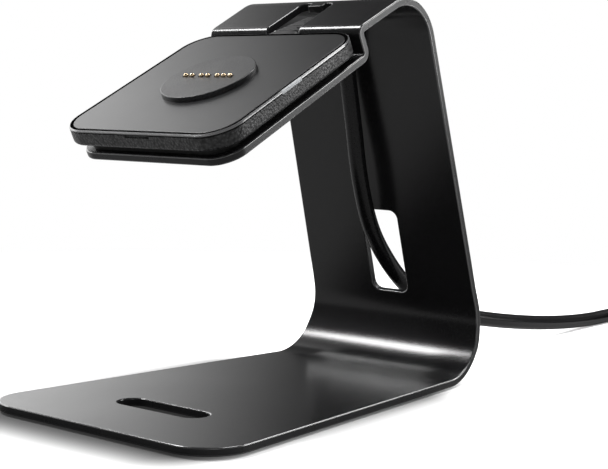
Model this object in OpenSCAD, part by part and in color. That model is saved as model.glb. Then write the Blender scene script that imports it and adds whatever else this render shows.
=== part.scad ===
// Magnetic charging station: a bent sheet stand that carries a sloping
// charging pad with seven sprung contacts, and its cable with a plug.
// All sizes in millimetres. The stand rests on z = 0, its front faces -Y,
// and x = 0, y = 0 is the middle of its footprint.

/* [Stand sheet] */
// thickness of the sheet
sheet = 2.5; // [2:0.1:4]
// width of the base at its front edge
base_width = 96; // [80:1:120]
// how much each side of the base comes in, per mm of depth
base_taper = 0.081; // [0:0.001:0.12]
// radius of the two front corners of the base
base_corner = 14; // [4:0.5:25]
// flat length of the base, front edge to the lower bend
base_flat = 127; // [100:0.5:150]
// inside radius of the lower bend
low_radius = 18; // [8:0.5:25]
// lean of the upright towards the front, from vertical
lean = 17.3; // [5:0.1:25]
// flat length of the upright
upright_flat = 92.7; // [70:0.1:120]
// half width of the upright where it would meet the floor
upright_foot = 35.6; // [30:0.1:45]
// how much each side of the upright comes in, per mm of height
upright_taper = 0.0312; // [0:0.0001:0.06]
// inside radius of the upper bend
top_radius = 12.6; // [6:0.1:20]
// slope of the head, from level
slope = 26.8; // [15:0.1:40]
// flat length of the panel behind the tray
panel_flat = 17.1; // [10:0.1:30]
// drop from the panel to the tray
drop = 8.6; // [5:0.1:14]
// flat length of the tray
tray_flat = 67.4; // [50:0.1:80]
// half width of the tray
tray_half = 30.5; // [25:0.1:40]
// radius of the front corners of the tray
tray_corner = 8; // [2:0.5:15]

/* [Cut-outs] */
// width of the cable hole in the upright
hole_width = 15; // [8:0.5:24]
// height of the cable hole in the upright
hole_height = 30.5; // [15:0.5:45]
// corner radius of the cable hole
hole_corner = 3; // [1:0.5:6]
// width of the slot in the head
slot_width = 13; // [10:0.5:18]
// length of the pill slot in the base
pill_length = 34; // [15:1:50]
// width of the pill slot in the base
pill_width = 10; // [5:0.5:16]

/* [Feet] */
// height of the rubber feet
foot_height = 0.8; // [0.5:0.1:3]
// radius of the rubber feet
foot_radius = 6; // [3:0.5:10]

/* [Pad] */
// width of the pad
pad_width = 66; // [50:0.5:80]
// length of the pad along the slope
pad_length = 69; // [50:0.5:85]
// corner radius of the pad
pad_corner = 10; // [4:0.5:16]
// height of the plinth between tray and pad
plinth_height = 2.9; // [1:0.1:6]
// height of the pad itself
pad_height = 5.2; // [4:0.1:10]
// thickness of the cover
cover = 0.7; // [0.5:0.1:1.5]
// thickness of the case walls
wall = 1.8; // [1.2:0.1:3]

/* [Contact disc] */
// radius of the raised contact disc
disc_radius = 14.8; // [10:0.1:20]
// height of the disc above the cover
disc_rise = 1.5; // [0.5:0.1:3]
// step of the contact pins
pin_step = 2.54; // [2:0.01:3]
// travel of a contact pin
pin_travel = 0.7; // [0.3:0.05:1]

/* [Cable] */
// diameter of the cable
cable_d = 5.8; // [3:0.1:7]
// mean diameter of the wound coil
coil_d = 62; // [58:1:70]

/* [Hidden] */
$fn = 72;
lap = 0.3;                                   // how far a flat runs into its bends
hair = 0.01;                                 // keeps a bend off the flats' faces
reach = base_width / 2 + 12;                 // half width of the uncut sheet
far = 240;                                   // higher than the stand can be
back = base_flat + low_radius + sheet;       // depth of the stand
mid = back / 2;                              // y of the origin from the front
top_z = foot_height + sheet;                 // top face of the base
step_in = 1.2;                               // radius at the foot of the step
step_out = 0.6;                              // inner radius at its head
hole_rise = 1.1;                             // lower bend to cable hole
pill_y = 30;                                 // front edge to pill slot

// Way of the sheet's inner face: length of a flat, turn after it, radius.
way = [[base_flat, 90 + lean, low_radius],
  [upright_flat, 90 - lean + slope, top_radius], [panel_flat, 90, step_out],
  [drop - step_in - step_out - sheet, -90, -step_in - sheet], [tray_flat, 0, 0]];
// Its y and z after n legs.
function after(n, p = [0, top_z], a = 0, i = 0) = i == n ? p : let (w = way[i],
  q = p + w[0] * [cos(a), sin(a)], b = a + w[1])
  after(n, q + w[2] * [sin(b) - sin(a), cos(a) - cos(b)], b, i + 1);
upright_top = after(1) + upright_flat * [-sin(lean), cos(lean)];
tray_front = after(5) + sheet * [-sin(slope), cos(slope)];
tray_y = tray_front[0];                      // front edge of the tray
tray_z = tray_front[1];
tray_back = tray_y + tray_flat * cos(slope);
split = tray_z - 17.2;                       // height where the masks change
slot_start = tray_flat - 11.4;
slot_end = tray_flat + panel_flat + 5.5;
pad_gap = 1.6;                               // pad to the step behind it
pad_back = tray_flat + step_in - pad_gap;    // back edge of the pad
pad_mid = pad_back - pad_length / 2;         // middle of the pad on the slope
under = plinth_height;                       // underside of the pad case
rim = under + pad_height;                    // top face of the cover
seam = rim - cover;                          // top of the gasket
gasket = 0.3;
lip = seam - gasket;                         // top of the case walls
floor_h = under + 1.2;                       // floor inside the case
disc_top = rim + disc_rise;
pins = [-3.5, -2.5, -1, 0, 1.5, 2.5, 3.5];   // pin places in steps
barrel_r = (pin_step - 0.34) / 2;
barrel_in = barrel_r - 0.18;
pin_r = barrel_r - 0.4;
barrel_lip = 0.3;
board_w = pad_width - 30;
board_l = pad_length - 30;
board_low = floor_h + 0.3;
board_top = board_low + 0.8;
barrel_top = disc_top - 0.2;
flange_top = barrel_top - barrel_lip;
flange_low = flange_top - 0.8;
barrel_floor = board_top + 0.3;
gland_h = 2.7;                               // height of the cable exit axis
boot_length = 17.5;
boot_end = pad_back + boot_length;           // narrow end of the strain relief
cable_r = cable_d / 2;
magnet_r = 6;
magnet_in = max(pad_corner, wall + magnet_r + 2.2);   // magnet to pad edge
magnet_x = pad_width / 2 - magnet_in;
magnet_y = pad_length / 2 - magnet_in;
screw_x = pad_width / 2 - 9;
screw_y = magnet_y - magnet_r - 8.5;
boss_r = 3;                                  // bosses for the pad screws
foot_front = 15;                             // front edge to the front feet
foot_back = base_flat - 9;
foot_in = 12;                                // side edge to a foot's middle
light_s = pad_mid - 1.9;                     // middle of the light window
light_l = 9.6;
pipe_x = pad_width / 2 - 1.4;                // inner face of the light window
shell_w = 12;                                // plug shell
shell_h = 4.5;
shell_l = 20;
shell_wall = 0.3;
grip_l = 35;                                 // plug grip with its strain relief
grip_in = 8;                                 // how deep the shell sits in it

// Sheet work: each piece starts where the one before it ends. The sheet runs
// along +Y with its inner face on z = 0 and its thickness below. Each flat
// laps a little into the bends, and each bend sits a hair outside the flats,
// so that no two faces nearly coincide.
module flat(l) {
  translate([-reach, -lap, -sheet]) cube([2 * reach, l + 2 * lap, sheet]);
  translate([0, l, 0]) children();
}

module ring_sector(r, a) {
  rotate_extrude(angle = a) translate([r + hair, -reach]) square([sheet, 2 * reach]);
}

module bend_in(a, r) {
  translate([0, 0, r]) rotate([90, 0, 90]) rotate([0, 0, -90]) ring_sector(r, a);
  translate([0, 0, r]) rotate([a, 0, 0]) translate([0, 0, -r]) children();
}

module bend_out(a, r) {
  translate([0, 0, -sheet - r]) rotate([90, 0, 90]) rotate([0, 0, 90 - a])
    ring_sector(r, a);
  translate([0, 0, -sheet - r]) rotate([-a, 0, 0]) translate([0, 0, sheet + r])
    children();
}

module bent_sheet() {
  translate([0, -mid, top_z])
    flat(way[0][0]) bend_in(way[0][1], low_radius)
    flat(way[1][0]) bend_in(way[1][1], top_radius)
    flat(way[2][0]) bend_in(way[2][1], step_out)
    flat(way[3][0]) bend_out(-way[3][1], step_in)
    flat(way[4][0]);
}

// Frames of the head and of the upright.
module on_tray() {
  translate([0, tray_y - mid, tray_z]) rotate([slope, 0, 0]) children();
}

module on_pad() {
  on_tray() translate([0, pad_mid, 0]) children();
}

module on_upright() {
  translate([0, base_flat - mid, top_z + low_radius]) rotate([90 + lean, 0, 0])
    translate([0, 0, -low_radius]) children();
}

// Outline of the base seen from above: tapered sides that run into round
// front corners without a kink.
module base_outline() {
  k = sqrt(1 + base_taper * base_taper);
  cx = base_width / 2 - base_corner * (k + base_taper);
  nick = 0.01;                               // keeps the side off the exact tangent
  tx = cx + base_corner / k - nick;
  ty = base_corner * (1 + base_taper / k);
  bx = base_width / 2 - base_taper * (back + 2) - nick;
  translate([0, -mid]) union() {
    for (m = [-1, 1]) translate([m * cx, base_corner]) circle(base_corner);
    polygon([[-cx, 0], [cx, 0], [tx, ty], [bx, back + 2], [-bx, back + 2],
      [-tx, ty]]);
  }
}

// A closed outline from the points of its right side.
module both_sides(side) {
  polygon(concat(side,
    [for (i = [len(side) - 1:-1:0]) [-side[i][0], side[i][1]]]));
}

// Outline of the head seen from above: it widens from the tray to the upright.
module head_outline() {
  translate([0, -mid]) both_sides([[tray_half, tray_y - 12], [tray_half, tray_back],
    [upright_half(upright_top[1]), upright_top[0]], [reach, upright_top[0] + 0.3],
    [reach, back + 2]]);
}

// Outline of the upright seen from the front: it narrows fast in the lower
// bend, then evenly.
function upright_half(z) = upright_foot - upright_taper * z;
module front_outline() {
  function up(k) = top_z + k * low_radius;
  both_sides([[reach, -1], [reach, top_z + 0.4], [upright_foot + 2.4, top_z + 0.4],
    [upright_foot + 1.9, up(0.12)], [upright_foot + 0.9, up(0.43)],
    [upright_foot, up(0.82)], [upright_half(up(1.54)), up(1.54)],
    [upright_half(far), far]]);
}

module rounded(w, l, r) {
  for (x = [-1, 1], y = [-1, 1]) translate([x * (w / 2 - r), y * (l / 2 - r)])
    circle(r);
  square([w - 2 * r, l], center = true);
  square([w, l - 2 * r], center = true);
}

module pill(w, l) {
  for (x = [-1, 1]) translate([x * (w - l) / 2, 0]) circle(l / 2);
  square([w - l, l], center = true);
}

module stand_plate() {
  color([0.09, 0.09, 0.10]) difference() {
    intersection() {
      bent_sheet();
      union() {
        translate([0, 0, -1]) linear_extrude(split + 2) base_outline();
        translate([0, 0, split]) linear_extrude(far) head_outline();
      }
      translate([0, back, 0]) rotate([90, 0, 0]) linear_extrude(2 * back)
        front_outline();
    }
    // plain pill slot in the base
    translate([0, pill_y - mid, 0]) linear_extrude(top_z + 1)
      pill(pill_length, pill_width);
    // cable hole in the upright
    on_upright() translate([0, hole_rise + hole_height / 2, -sheet - 1])
      linear_extrude(sheet + 2) rounded(hole_width, hole_height, hole_corner);
    // cable slot through tray, step and panel, with a tongue left at its end
    on_tray() translate([0, 0, -sheet - 2]) linear_extrude(drop + sheet + 4)
      difference() {
        translate([0, (slot_start + slot_end) / 2])
          rounded(slot_width, slot_end - slot_start, 2.4);
        translate([-2.9, slot_end - 2.4]) square([5.8, 4]);
      }
    // round front corners of the tray
    for (m = [0, 1]) mirror([m, 0, 0]) on_tray()
      translate([0, 0, -sheet - 1]) linear_extrude(sheet + 2) difference() {
        translate([tray_half - tray_corner, -1])
          square([tray_corner + 2, tray_corner + 1]);
        translate([tray_half - tray_corner, tray_corner]) circle(tray_corner);
      }
    // holes for the four pad screws
    on_pad() four(screw_x, screw_y) translate([0, 0, -sheet - 1])
      cylinder(r = 1.6, h = sheet + 2);
  }
}

module foot(side, y) {
  x = base_width / 2 - base_taper * y - foot_in;
  color([0.05, 0.05, 0.05]) translate([side * x, y - mid, 0]) union() {
    cylinder(r1 = foot_radius - 0.3, r2 = foot_radius, h = 0.3);
    translate([0, 0, 0.3]) cylinder(r = foot_radius, h = foot_height - 0.3);
  }
}
module foot_front_left() { foot(-1, foot_front); }
module foot_front_right() { foot(1, foot_front); }
module foot_back_left() { foot(-1, foot_back); }
module foot_back_right() { foot(1, foot_back); }

// The same thing at four places, one in each quarter.
module four(x, y) {
  for (p = [[-x, -y], [x, -y], [-x, y], [x, y]]) translate([p[0], p[1], 0]) children();
}

// Rounded slab from z = 0 to h with a small chamfer on its top or bottom edge.
module slab(w, l, r, h, top, low) {
  half = function (x) [[0, 0], [x - low, 0], [x, low], [x, h - top],
    [x - top, h], [0, h]];
  for (x = [-1, 1], y = [-1, 1])
    translate([x * (w / 2 - r), y * (l / 2 - r), 0])
      rotate_extrude() polygon(half(r));
  for (m = [0, 1]) {
    mirror([m, 0, 0]) translate([0, l / 2 - r, 0]) rotate([90, 0, 0])
      linear_extrude(l - 2 * r) polygon(half(w / 2));
    mirror([0, m, 0]) translate([-(w / 2 - r), 0, 0]) rotate([90, 0, 90])
      linear_extrude(w - 2 * r) polygon(half(l / 2));
  }
}

module screw_holes(r, low, high) {
  four(screw_x, screw_y) translate([0, 0, low]) cylinder(r = r, h = high - low);
}

// Cable exit of the pad: a round boss along the slope.
module along_exit(s) {
  on_tray() translate([0, s, gland_h]) rotate([-90, 0, 0]) children();
}

module pad_plinth() {
  color([0.03, 0.03, 0.03]) difference() {
    on_pad() linear_extrude(plinth_height)
      rounded(pad_width - 11, pad_length - 8, 0.6 * pad_corner);
    on_pad() screw_holes(1.6, -1, plinth_height + 1);
    // room for the cable exit, open to the back
    on_tray() translate([-5.2, slot_start - 1, -1]) cube([10.4, 14, 6]);
  }
}

module tray_screws() {
  color([0.62, 0.62, 0.64]) on_pad() four(screw_x, screw_y) difference() {
    union() {
      translate([0, 0, -sheet - 1.6]) cylinder(r = 2.8, h = 1.6);
      translate([0, 0, -sheet]) cylinder(r = 1.45, h = sheet + under + 3.2);
    }
    translate([0, 0, -sheet - 1.7]) cylinder(r = 0.95, h = 1.1, $fn = 6);
  }
}

module pad_case() {
  color([0.12, 0.12, 0.13]) difference() {
    union() {
      difference() {
        on_pad() translate([0, 0, under])
          slab(pad_width, pad_length, pad_corner, lip - under, 0, 0.5);
        on_pad() translate([0, 0, floor_h]) linear_extrude(10)
          rounded(pad_width - 2 * wall, pad_length - 2 * wall, pad_corner - wall);
      }
      // screw bosses
      on_pad() four(screw_x, screw_y) translate([0, 0, floor_h - 0.5])
        cylinder(r = boss_r, h = lip - floor_h + 0.3);
      // low ribs for the board
      on_pad() for (x = [-1, 1]) translate([x * (board_w / 2 - 6) - 1,
        6 - board_l / 2, floor_h - 0.5]) cube([2, board_l - 12, 0.8]);
      // seats for the magnets
      on_pad() four(magnet_x, magnet_y) translate([0, 0, floor_h - 0.5])
        cylinder(r = magnet_r - 1, h = 1.3);
      along_exit(pad_back - 6) cylinder(r = 4, h = 6);
    }
    // threaded holes for the pad screws
    on_pad() screw_holes(1.45, 0, under + 3.3);
    // bore of the cable exit, and the way from it to the board
    along_exit(pad_back - 10) cylinder(r = 2.9, h = 11);
    // shallow notch in the front edge
    on_pad() translate([-4.3, -pad_length / 2 - 1, lip - 0.7]) cube([9.6, 1.9, 2]);
    // place for the light pipe in the right side
    on_tray() translate([pad_width / 2 - 2.2, light_s - light_l / 2 - 0.05, lip - 0.6])
      cube([4, light_l + 0.1, 4]);
    on_tray() translate([pad_width / 2 - 5, light_s - 1.8, under + 2.4])
      cube([6, 3.6, 4]);
  }
}

module cover_gasket() {
  color([0.02, 0.02, 0.02]) difference() {
    on_pad() translate([0, 0, lip]) linear_extrude(gasket) difference() {
      rounded(pad_width - 0.6, pad_length - 0.6, pad_corner - 0.3);
      rounded(pad_width - 2 * wall, pad_length - 2 * wall, pad_corner - wall);
    }
    on_tray() translate([pad_width / 2 - 2.2, light_s - light_l / 2 - 0.05, 0])
      cube([4, light_l + 0.1, 9]);
  }
}

module pad_cover() {
  color([0.17, 0.17, 0.18]) difference() {
    on_pad() translate([0, 0, seam])
      slab(pad_width, pad_length, pad_corner, cover, 0.4, 0);
    on_pad() translate([0, 0, seam - 1]) cylinder(r = disc_radius + 0.05, h = 4);
    on_tray() translate([pipe_x, light_s - light_l / 2 - 0.05, 0])
      cube([4, light_l + 0.1, 12]);
  }
}

module contact_disc() {
  color([0.20, 0.20, 0.21]) on_pad() difference() {
    flange = disc_radius + 1.6;
    rotate_extrude() polygon([[0, seam - 1.2], [flange, seam - 1.2], [flange, seam],
      [disc_radius, seam], [disc_radius, disc_top - 0.35],
      [disc_radius - 0.35, disc_top], [0, disc_top]]);
    for (p = pins) translate([p * pin_step, 0, seam - 2])
      cylinder(r = barrel_r + 0.02, h = 6);
  }
}

module circuit_board() {
  color([0.05, 0.25, 0.12]) on_pad() difference() {
    translate([0, 0, board_low]) linear_extrude(0.8) {
      rounded(board_w, board_l, 3);
      // arm under the light
      translate([board_w / 2 - 4, light_s - pad_mid - 2.5])
        square([pad_width / 2 - board_w / 2 - 1, 5]);
    }
    for (p = pins) translate([p * pin_step, 0, 0]) cylinder(r = 0.42, h = 9);
  }
}

module control_chip() {
  color([0.03, 0.03, 0.03]) on_pad() translate([-3, 5.5, board_top])
    cube([6, 6, 0.8]);
}

terminal_back = pad_mid + board_l / 2;
module wire_terminal() {
  color([0.85, 0.84, 0.80]) on_tray() translate([-3.5, terminal_back - 2.4, board_top])
    cube([7, 2.4, 1.1]);
}

module light_source() {
  color([0.95, 0.93, 0.80]) on_tray()
    translate([pad_width / 2 - 6.8, light_s - 0.6, board_top]) cube([1.6, 1.2, 0.7]);
}

module light_pipe() {
  color([0.85, 0.87, 0.88]) on_tray() union() {
    translate([pipe_x, light_s - light_l / 2, lip - 0.6])
      cube([1.4, light_l, rim - lip + 0.6]);
    translate([pad_width / 2 - 4.9, light_s - 1.6, under + 2.5])
      cube([4.4, 3.2, lip - under - 2.5]);
  }
}

module magnet(x, y) {
  color([0.72, 0.72, 0.74]) on_pad() translate([x * magnet_x, y * magnet_y,
    floor_h + 0.8]) cylinder(r = magnet_r, h = 2);
}
module magnet_1() { magnet(-1, -1); }
module magnet_2() { magnet(1, -1); }
module magnet_3() { magnet(-1, 1); }
module magnet_4() { magnet(1, 1); }

// Sprung contact pins: barrel, spring and plunger.
module at_pin(i) {
  on_pad() translate([pins[i] * pin_step, 0, 0]) children();
}

module pin_barrel(i) {
  color([0.80, 0.66, 0.34]) at_pin(i) rotate_extrude($fn = 36)
    polygon([[0, board_low - 0.2], [0.35, board_low - 0.2], [0.35, board_top],
      [barrel_r, board_top], [barrel_r, barrel_top], [pin_r + 0.05, barrel_top],
      [pin_r + 0.05, flange_top], [barrel_in, flange_top],
      [barrel_in, barrel_floor], [0, barrel_floor]]);
}

module pin_plunger(i) {
  color([0.88, 0.76, 0.48]) at_pin(i) rotate_extrude($fn = 36) {
    polygon([[0, flange_low], [barrel_in - 0.05, flange_low],
      [barrel_in - 0.05, flange_top - 0.01], [pin_r, flange_top - 0.01],
      [pin_r, disc_top + 0.15], [0, disc_top + 0.15]]);
    intersection() {
      translate([0, disc_top + 0.15]) circle(pin_r);
      translate([0, disc_top + 0.1]) square([2, 2]);
    }
  }
}

// Spring wire: a round wire wound about the axis, first and last turn closed.
module pin_spring(i) {
  turns = 5;
  per = 10;
  n = turns * per;
  wire = 0.11;
  mean = barrel_in - 0.3;
  low = barrel_floor + wire;
  high = flange_low - wire;
  sides = 6;
  function height(t) = let (e = 1 / turns)
    t < e ? 0.25 * t / turns / e : t > 1 - e ? 1 - 0.25 * (1 - t) / turns / e
    : 0.25 / turns + (t - e) / (1 - 2 * e) * (1 - 0.5 / turns);
  function ring(k) = let (t = k / n, a = 360 * turns * t,
    z = low + (high - low) * height(t))
    [for (j = [0:sides - 1]) let (b = 360 * j / sides, q = mean + wire * cos(b))
      [q * cos(a), q * sin(a), z + wire * sin(b)]];
  pts = [for (k = [0:n], p = ring(k)) p];
  walls = [for (k = [0:n - 1], j = [0:sides - 1]) let (m = (j + 1) % sides)
    [k * sides + j, k * sides + m, (k + 1) * sides + m, (k + 1) * sides + j]];
  ends = [[for (j = [sides - 1:-1:0]) j], [for (j = [0:sides - 1]) n * sides + j]];
  color([0.75, 0.75, 0.77]) at_pin(i) polyhedron(pts, concat(walls, ends));
}

module pin_barrel_1() { pin_barrel(0); }
module pin_barrel_2() { pin_barrel(1); }
module pin_barrel_3() { pin_barrel(2); }
module pin_barrel_4() { pin_barrel(3); }
module pin_barrel_5() { pin_barrel(4); }
module pin_barrel_6() { pin_barrel(5); }
module pin_barrel_7() { pin_barrel(6); }
module pin_spring_1() { pin_spring(0); }
module pin_spring_2() { pin_spring(1); }
module pin_spring_3() { pin_spring(2); }
module pin_spring_4() { pin_spring(3); }
module pin_spring_5() { pin_spring(4); }
module pin_spring_6() { pin_spring(5); }
module pin_spring_7() { pin_spring(6); }
module pin_plunger_1() { pin_plunger(0); }
module pin_plunger_2() { pin_plunger(1); }
module pin_plunger_3() { pin_plunger(2); }
module pin_plunger_4() { pin_plunger(3); }
module pin_plunger_5() { pin_plunger(4); }
module pin_plunger_6() { pin_plunger(5); }
module pin_plunger_7() { pin_plunger(6); }

boot_plug = 6.5;                             // part of the boot inside the pad
// Wires from the cable end up to the terminal on the board, each a slanted rod
// that stops 0.1 short of both.
module wire(x) {
  a = [terminal_back + 0.1, board_top + 0.55];
  b = [pad_back - boot_plug - 0.1, gland_h + 1.6];
  on_tray() translate([x, a[0], a[1]])
    rotate([-90 + atan2(b[1] - a[1], b[0] - a[0]), 0, 0])
    cylinder(r = 0.45, h = norm(b - a), $fn = 24);
}
module wire_red() { color([0.7, 0.1, 0.1]) wire(-1.65); }
module wire_black() { color([0.05, 0.05, 0.05]) wire(-0.55); }
module wire_green() { color([0.1, 0.5, 0.2]) wire(0.55); }
module wire_white() { color([0.9, 0.9, 0.9]) wire(1.65); }

// Strain relief: a plug inside the pad, a shoulder, then a ribbed taper.
module cable_boot() {
  ribs = [for (i = [0:5]) let (y = 2.4 + i * 2.4, r = 3.9 - 0.11 * i)
    each [[r, y], [r, y + 1.4], [r - 0.75, y + 1.4], [r - 0.75, y + 2.4]]];
  color([0.10, 0.10, 0.11]) along_exit(pad_back) rotate_extrude()
    polygon(concat([[0, -boot_plug], [2.88, -boot_plug], [2.88, 0], [4, 0], [4, 1.6],
      [3.15, 1.6], [3.15, 2.4]], ribs, [[3.0, boot_length], [0, boot_length]]));
}

// Cable route: x, y, z of its middle line, y counted from the front edge.
// It starts at the narrow end of the strain relief.
boot_tip = tray_front + boot_end * [cos(slope), sin(slope)]
  + gland_h * [-sin(slope), cos(slope)];
route = [[0, boot_tip[0], boot_tip[1]], [0, 100.9, 118.9], [0, 105.1, 118.6],
  [0, 108.9, 116.8], [0, 111.9, 113.6], [0, 114, 109], [0, 116.2, 99.8],
  [0, 119.6, 85.6], [0, 123.9, 67.8], [0, 130.8, 51.4], [0, 141.5, 38.6],
  [1, 153, 28.5], [2, 166, 21], [3.5, 181, 16], [5, 199, 12.5], [6, 219, 9.4],
  [6, 241, 6.6], [5.5, 264, 4.4], [5, 287, 3.1], [5, 306, 3], [5, 324, 3]];
last = len(route) - 1;
stub = 21;                                   // straight run into the coil
coil_x = route[last][0] + coil_d / 2 + cable_r;
coil_y = route[last][1] + stub;
tail = 23;                                   // cable between coil and plug

// One point of the smooth curve through four route points.
function smooth(a, b, c, d, t) = 0.5 * (2 * b + (c - a) * t
  + (2 * a - 5 * b + 4 * c - d) * t * t + (3 * b - a - 3 * c + d) * t * t * t);
function unit(v) = v / norm(v);
// Exact direction of the cable at its two ends.
ends = [[0, cos(slope), sin(slope)], [0, 1, 0]];

module cable() {
  sides = 12;
  pad = concat([route[0] - 4.4 * ends[0]], route, [route[last] + 18 * ends[1]]);
  per = function (i) i < 14 ? 3 : 2;
  line = [for (i = [0:last - 1], k = [0:per(i) - 1])
    smooth(pad[i], pad[i + 1], pad[i + 2], pad[i + 3], k / per(i)), route[last]];
  n = len(line) - 1;
  dir = [for (i = [0:n]) i == 0 ? ends[0] : i == n ? ends[1]
    : unit(line[i + 1] - line[i - 1])];
  pts = [for (i = [0:n]) let (u = unit(cross(dir[i], [1, 0, 0])),
    v = cross(u, dir[i])) each [for (j = [0:sides - 1]) let (a = 360 * j / sides)
      line[i] + cable_r * (cos(a) * v + sin(a) * u) - [0, mid, 0]]];
  walls = [for (i = [0:n - 1], j = [0:sides - 1]) let (m = (j + 1) % sides)
    [i * sides + j, (i + 1) * sides + j, (i + 1) * sides + m, i * sides + m]];
  caps = [[for (j = [0:sides - 1]) j],
    [for (j = [sides - 1:-1:0]) n * sides + j]];
  color([0.07, 0.07, 0.07]) polyhedron(pts, concat(walls, caps));
}

// The spare length wound flat: two turns side by side, two turns high.
module cable_coil() {
  color([0.07, 0.07, 0.07]) translate([coil_x, coil_y - mid, 0]) union() {
    rotate_extrude() translate([coil_d / 2, cable_d]) union() {
      for (x = [-1, 1], y = [-1, 1]) translate([x * cable_r, y * cable_r])
        circle(cable_r, $fn = 36);
      square([2 * cable_d, cable_d], center = true);
      square([cable_d, 2 * cable_d], center = true);
    }
    // the cable runs in along the left side and out along the right
    translate([-coil_d / 2 - cable_r, -stub, route[last][2]]) rotate([-90, 0, 0])
      cylinder(r = cable_r, h = stub);
    translate([coil_d / 2 + cable_r, 0, 4.2]) rotate([90, 0, 0])
      cylinder(r = cable_r, h = tail);
  }
}

// Plug at the free end, lying flat and pointing to the front.
shell_start = grip_l - grip_in;
module on_plug() {
  translate([coil_x + coil_d / 2 + cable_r, coil_y - mid - tail, 4.2])
    rotate([90, 0, 0]) children();
}

module plug_grip() {
  color([0.08, 0.08, 0.08]) on_plug() difference() {
    union() {
      rotate_extrude() polygon(concat([[0, 0], [3.2, 0]],
        [for (i = [0:3]) each [[3.2 + 0.1 * i, 1.2 + 2.4 * i],
          [3.7 + 0.1 * i, 1.2 + 2.4 * i], [3.7 + 0.1 * i, 2.6 + 2.4 * i],
          [3.3 + 0.1 * i, 2.6 + 2.4 * i]]], [[3.7, 11], [0, 11]]));
      translate([0, 0, 11]) linear_extrude(grip_l - 11)
        rounded(shell_w + 3, shell_h + 3.7, 2.5);
    }
    translate([-shell_w / 2 - 0.05, -shell_h / 2 - 0.05, shell_start])
      cube([shell_w + 0.1, shell_h + 0.1, grip_in + 1]);
  }
}

module plug_shell() {
  hollow = shell_w - 2 * shell_wall;
  color([0.78, 0.78, 0.80]) on_plug() translate([0, 0, shell_start]) difference() {
    translate([-shell_w / 2, -shell_h / 2, 0]) cube([shell_w, shell_h, shell_l]);
    translate([-hollow / 2, shell_wall - shell_h / 2, -1])
      cube([hollow, shell_h - 2 * shell_wall, shell_l + 2]);
    for (x = [-1, 1]) translate([x * shell_w / 4 - 1.1, 0, shell_l - 7])
      cube([2.2, shell_h, 2.2]);
  }
}

// Insulator in the shell: a full block at the root, then a flat tongue.
module plug_tongue() {
  w = shell_w - 2 * shell_wall - 0.2;
  low = shell_wall + 0.1 - shell_h / 2;
  root = shell_l / 4;
  color([0.92, 0.92, 0.92]) on_plug() translate([-w / 2, low, shell_start]) union() {
    cube([w, -2 * low, root]);
    translate([0, 0, root]) cube([w, -0.05 - low, shell_l - 0.6 - root]);
  }
}

module plug_contacts() {
  color([0.85, 0.72, 0.40]) on_plug() for (x = [-1.5:1.5]) translate([x * shell_w / 5
    - 0.5, -0.05, shell_start + 0.3 * shell_l]) cube([1, 0.25, 0.6 * shell_l]);
}

stand_plate();
foot_front_left();
foot_front_right();
foot_back_left();
foot_back_right();
pad_plinth();
tray_screws();
pad_case();
cover_gasket();
pad_cover();
contact_disc();
circuit_board();
control_chip();
wire_terminal();
light_source();
light_pipe();
magnet_1();
magnet_2();
magnet_3();
magnet_4();
pin_barrel_1();
pin_barrel_2();
pin_barrel_3();
pin_barrel_4();
pin_barrel_5();
pin_barrel_6();
pin_barrel_7();
pin_spring_1();
pin_spring_2();
pin_spring_3();
pin_spring_4();
pin_spring_5();
pin_spring_6();
pin_spring_7();
pin_plunger_1();
pin_plunger_2();
pin_plunger_3();
pin_plunger_4();
pin_plunger_5();
pin_plunger_6();
pin_plunger_7();
wire_red();
wire_black();
wire_green();
wire_white();
cable_boot();
cable();
cable_coil();
plug_grip();
plug_shell();
plug_tongue();
plug_contacts();
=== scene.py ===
"""Magnetic charging station: a bent and tapered black sheet with a sloping pad,
seven sprung contacts and a cable.

All shapes are worked out in millimetres in the maker's frame (x across, y from
the front edge of the base, z up) and moved to the row frame in metres by
to_row().
"""

import math

import bpy
import numpy as np
from mathutils import Matrix, Vector
from mathutils.geometry import delaunay_2d_cdt


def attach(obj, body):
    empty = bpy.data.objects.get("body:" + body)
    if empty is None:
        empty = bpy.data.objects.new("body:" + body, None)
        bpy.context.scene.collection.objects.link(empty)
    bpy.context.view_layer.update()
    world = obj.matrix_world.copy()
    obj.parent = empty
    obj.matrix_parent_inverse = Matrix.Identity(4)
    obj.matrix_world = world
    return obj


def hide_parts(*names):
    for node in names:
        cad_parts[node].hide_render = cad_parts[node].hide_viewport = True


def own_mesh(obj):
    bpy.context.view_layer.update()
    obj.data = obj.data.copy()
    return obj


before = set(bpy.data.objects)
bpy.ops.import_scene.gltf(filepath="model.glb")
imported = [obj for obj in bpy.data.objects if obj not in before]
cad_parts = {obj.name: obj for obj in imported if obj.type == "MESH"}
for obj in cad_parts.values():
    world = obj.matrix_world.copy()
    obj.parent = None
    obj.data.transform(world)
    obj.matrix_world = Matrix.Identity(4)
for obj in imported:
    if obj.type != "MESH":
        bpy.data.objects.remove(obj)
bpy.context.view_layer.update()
scene = bpy.context.scene

MM = 0.001
MID = 73.75                      # y of the origin, from the front edge
SAME = 1e-6                      # places nearer than this are one place

# The camera: its focal length, in pixels of the photograph, and its place come from
# lines and corners of the photograph
FOCAL_PX = 1383.87
WIDTH_PX = 608
CAMERA_AT = (0.281272, -0.329429, 0.091175)
CAMERA_TURNS = (0.0902, 0.6772, 0.0222)   # pitch, heading and roll, in radians
SENSOR = 36                      # width of the sensor, in mm


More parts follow.
